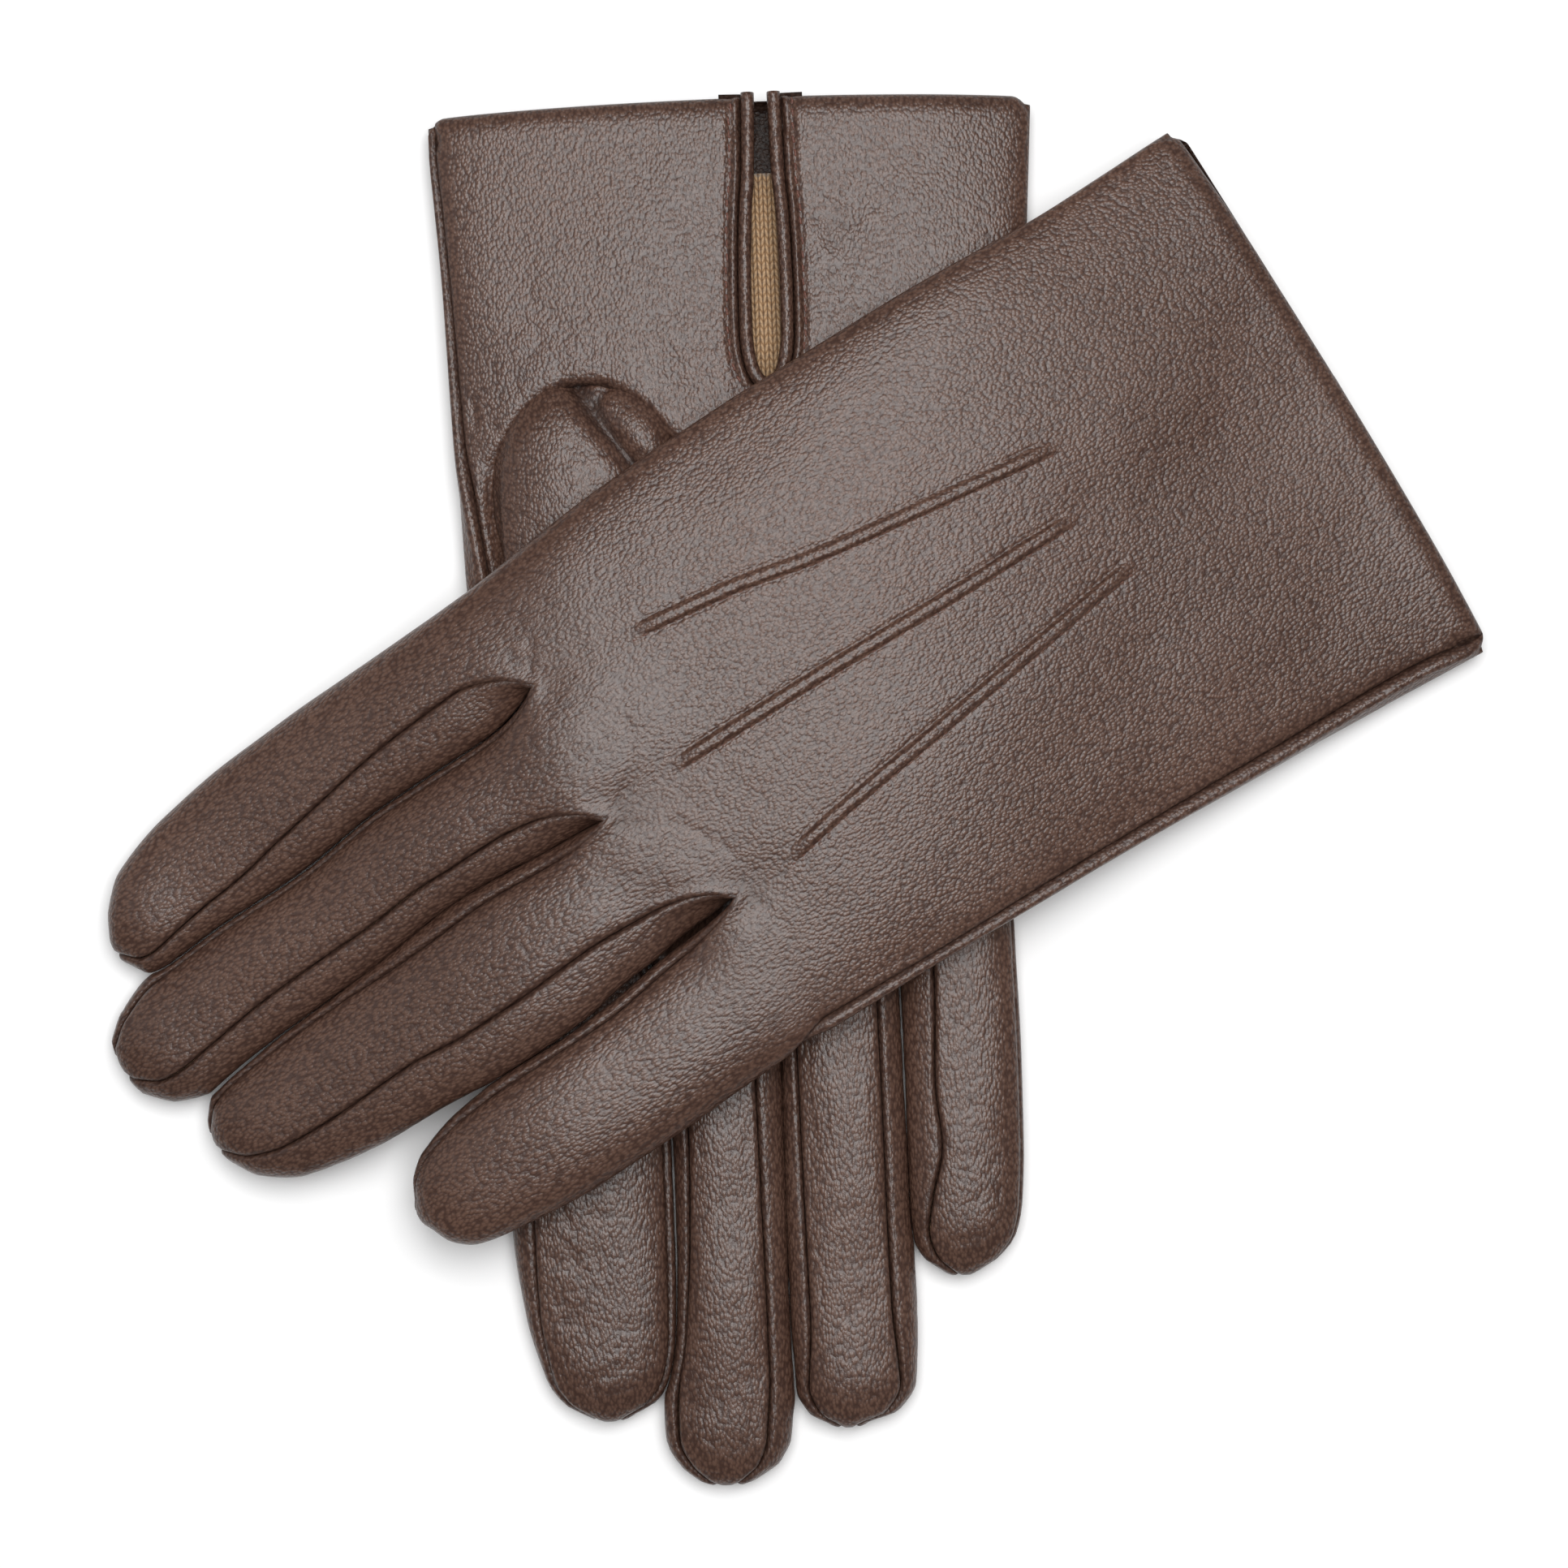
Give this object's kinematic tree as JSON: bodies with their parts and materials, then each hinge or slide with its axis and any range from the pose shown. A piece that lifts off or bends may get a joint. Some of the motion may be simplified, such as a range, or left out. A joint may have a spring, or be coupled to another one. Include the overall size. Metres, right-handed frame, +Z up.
{
  "type": "pair of leather gloves",
  "caption": "Lined leather dress gloves with raised points on the back and a vent in the palm, one laid across the other.",
  "frame": {"origin": "middle of the pair's outline, on the surface it lies on", "axes": "+Z up from the surface; the right glove's fingers point along -Y and the left glove's along -X and -Y"},
  "size_m": [0.2502, 0.2534, 0.0265],
  "materials": {
    "glove_leather": "dark brown grained sheepskin with a soft sheen",
    "facing_leather": "thin dark brown leather, matt",
    "knit_lining": "camel wool knit, fine rib",
    "thread": "reddish brown sewing thread"
  },
  "bodies": {
    "right_glove": {"right_back_panel": "glove_leather", "right_palm_panel": "glove_leather", "right_thumb": "glove_leather", "right_fourchette_index_middle": "glove_leather", "right_fourchette_middle_ring": "glove_leather", "right_fourchette_ring_little": "glove_leather", "right_lining": "knit_lining", "right_thumb_lining": "knit_lining", "right_cuff_facing": "facing_leather", "right_vent_facing": "facing_leather", "right_vent_piping": "glove_leather", "right_point_thread_index": "thread", "right_point_thread_middle": "thread", "right_point_thread_ring": "thread"},
    "left_glove": {"left_back_panel": "glove_leather", "left_palm_panel": "glove_leather", "left_thumb": "glove_leather", "left_fourchette_index_middle": "glove_leather", "left_fourchette_middle_ring": "glove_leather", "left_fourchette_ring_little": "glove_leather", "left_lining": "knit_lining", "left_thumb_lining": "knit_lining", "left_cuff_facing": "facing_leather", "left_vent_facing": "facing_leather", "left_vent_piping": "glove_leather", "left_point_thread_index": "thread", "left_point_thread_middle": "thread", "left_point_thread_ring": "thread"}
  },
  "joints": [
    {"name": "left_glove_lift", "type": "slide", "parent": "right_glove", "child": "left_glove", "axis": [0, 0, 1], "range_m": [0, 0.1]}
  ]
}
